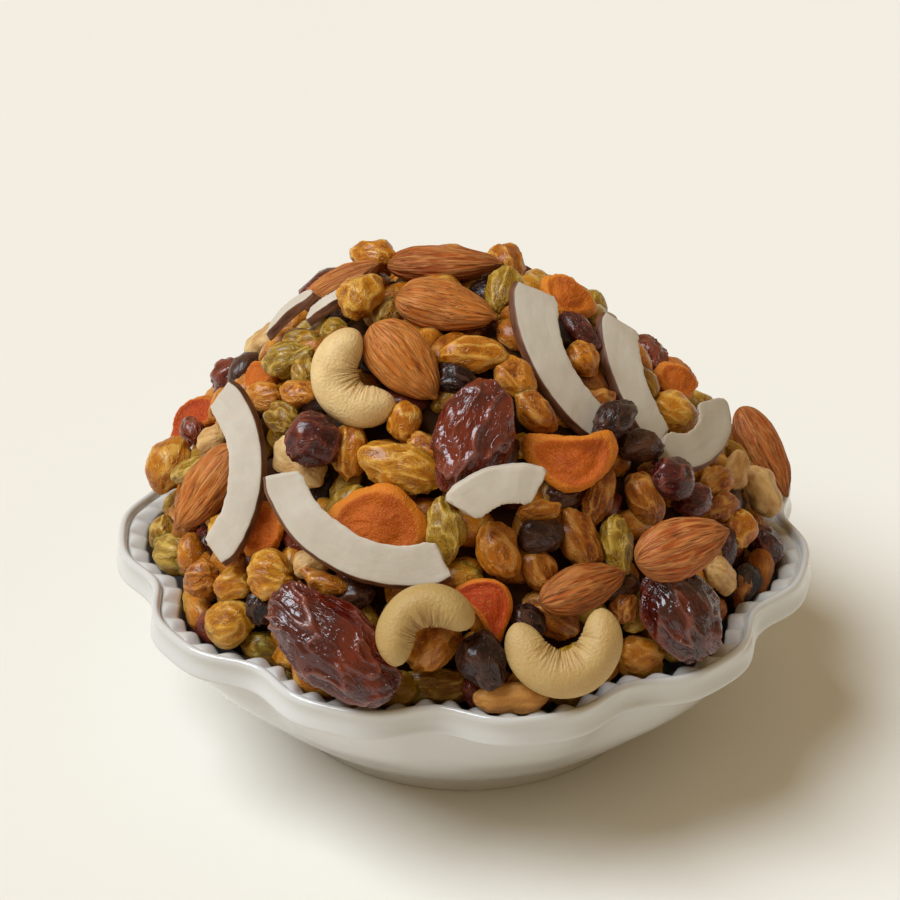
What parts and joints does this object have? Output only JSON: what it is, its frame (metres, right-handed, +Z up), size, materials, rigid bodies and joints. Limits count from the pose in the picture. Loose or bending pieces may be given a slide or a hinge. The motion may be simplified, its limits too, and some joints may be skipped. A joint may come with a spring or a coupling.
{
  "type": "bowl of trail mix",
  "caption": "Scalloped round bowl filled with a high domed heap of trail mix: raisins, dates, almonds, cashews, dried apricots and curved coconut slices.",
  "frame": {"origin": "on the table under the middle of the bowl, in the plane of the foot ring", "axes": "+Z up out of the bowl; -Y towards the front of the heap, the side with the large date, the long coconut slice and the cashews; +X to the right of it"},
  "size_m": [0.1714, 0.1716, 0.121],
  "materials": {
    "porcelain": "white glaze, glossy",
    "raisins": "wrinkled golden to brown dried fruit, slightly sticky sheen",
    "coconut_flesh": "dry off-white flesh, dull, with a brown skin along the outer edge",
    "date_skin": "dark red-brown wrinkled skin, glossy",
    "almond_skin": "brown papery skin, dull, ridged lengthwise",
    "cashew_flesh": "roasted cream nut, satin",
    "apricot_flesh": "orange dried fruit, slightly moist",
    "nut_flesh": "pale roasted nut, satin"
  },
  "bodies": {
    "root": {"bowl": "porcelain", "heap": "raisins", "coconut_1": "coconut_flesh", "coconut_2": "coconut_flesh", "coconut_3": "coconut_flesh", "coconut_4": "coconut_flesh", "coconut_5": "coconut_flesh", "coconut_6": "coconut_flesh", "coconut_7": "coconut_flesh", "coconut_8": "coconut_flesh", "coconut_9": "coconut_flesh", "coconut_10": "coconut_flesh", "date_1": "date_skin", "date_2": "date_skin", "date_3": "date_skin", "date_4": "date_skin", "date_5": "date_skin", "almond_1": "almond_skin", "almond_2": "almond_skin", "almond_3": "almond_skin", "almond_4": "almond_skin", "almond_5": "almond_skin", "almond_6": "almond_skin", "almond_7": "almond_skin", "almond_8": "almond_skin", "almond_9": "almond_skin", "almond_10": "almond_skin", "almond_11": "almond_skin", "cashew_1": "cashew_flesh", "cashew_2": "cashew_flesh", "cashew_3": "cashew_flesh", "cashew_4": "cashew_flesh", "apricot_1": "apricot_flesh", "apricot_2": "apricot_flesh", "apricot_3": "apricot_flesh", "apricot_4": "apricot_flesh", "apricot_5": "apricot_flesh", "apricot_6": "apricot_flesh", "apricot_7": "apricot_flesh", "apricot_8": "apricot_flesh", "apricot_9": "apricot_flesh", "apricot_10": "apricot_flesh", "nut_1": "nut_flesh", "nut_2": "nut_flesh", "nut_3": "nut_flesh", "nut_4": "nut_flesh", "nut_5": "nut_flesh", "nut_6": "nut_flesh", "nut_7": "nut_flesh", "nut_8": "nut_flesh"}
  },
  "joints": []
}
